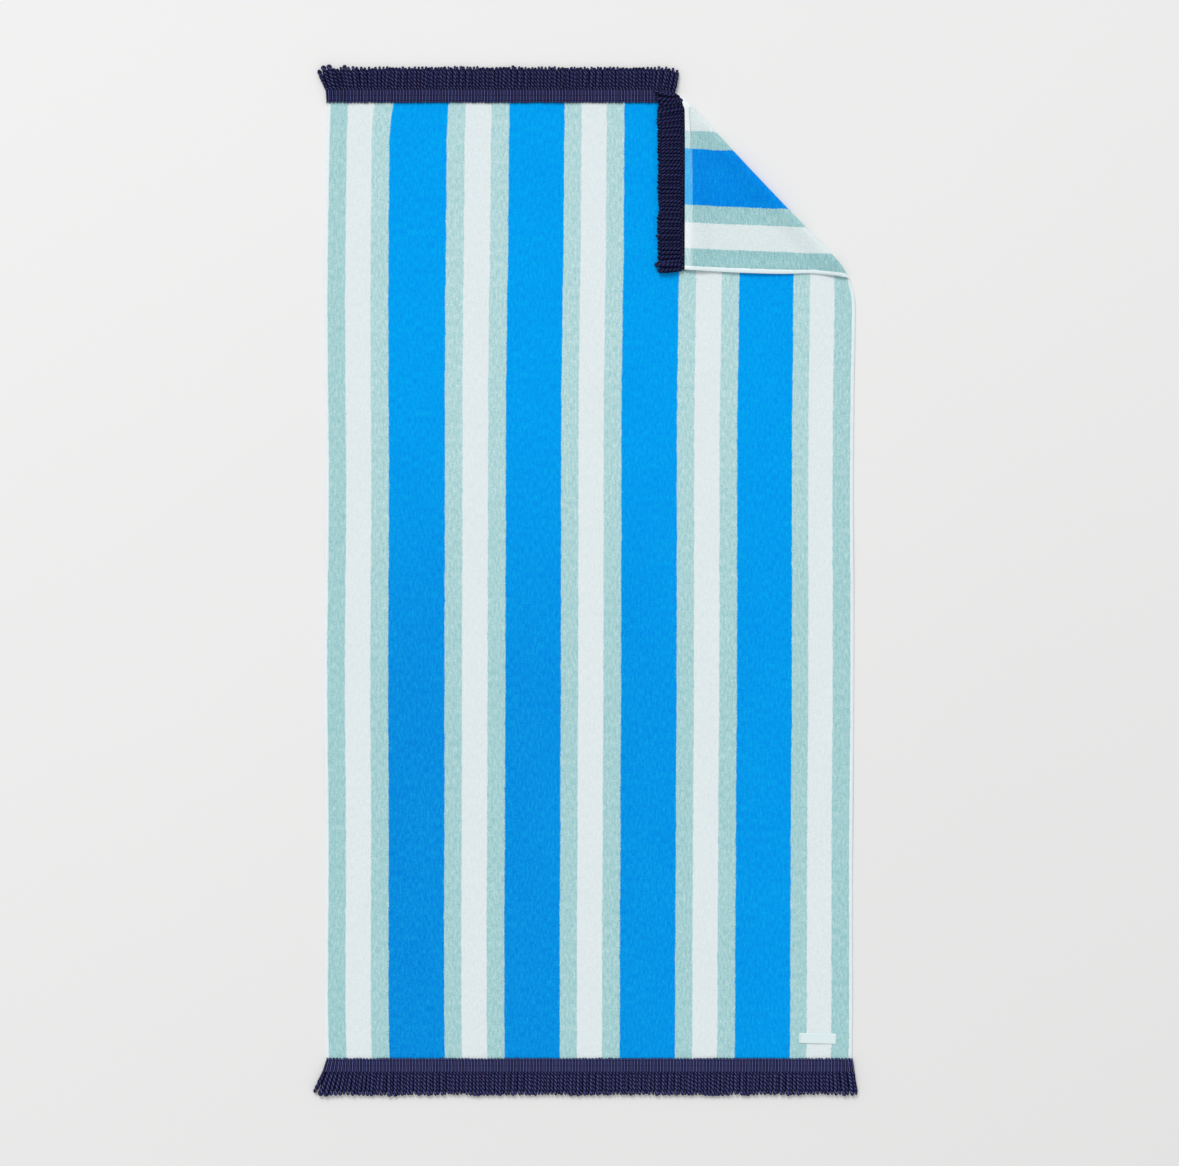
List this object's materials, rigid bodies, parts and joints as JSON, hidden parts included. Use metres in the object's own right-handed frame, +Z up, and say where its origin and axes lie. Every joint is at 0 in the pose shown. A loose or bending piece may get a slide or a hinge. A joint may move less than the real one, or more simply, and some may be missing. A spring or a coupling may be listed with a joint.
{
  "type": "beach towel",
  "caption": "Striped terry beach towel with a twisted-cord fringe on both ends, laid flat with one corner turned down over its front.",
  "frame": {"origin": "middle of the cloth's underside, on the surface that the towel lies on", "axes": "+X across the towel, +Y along it towards the end with the turned corner, +Z up"},
  "size_m": [0.9133, 1.7538, 0.0131],
  "materials": {
    "terry": "striped cotton terry in blue, pale aqua and white, matt with a soft pile",
    "fringe_cord": "navy twisted cotton cord, matt",
    "label_tape": "white woven tape, slightly glossy"
  },
  "bodies": {
    "root": {"towel": "terry", "fringe_bottom": "fringe_cord", "fringe_top": "fringe_cord", "fringe_turned": "fringe_cord", "sewn_label": "label_tape"}
  },
  "joints": []
}
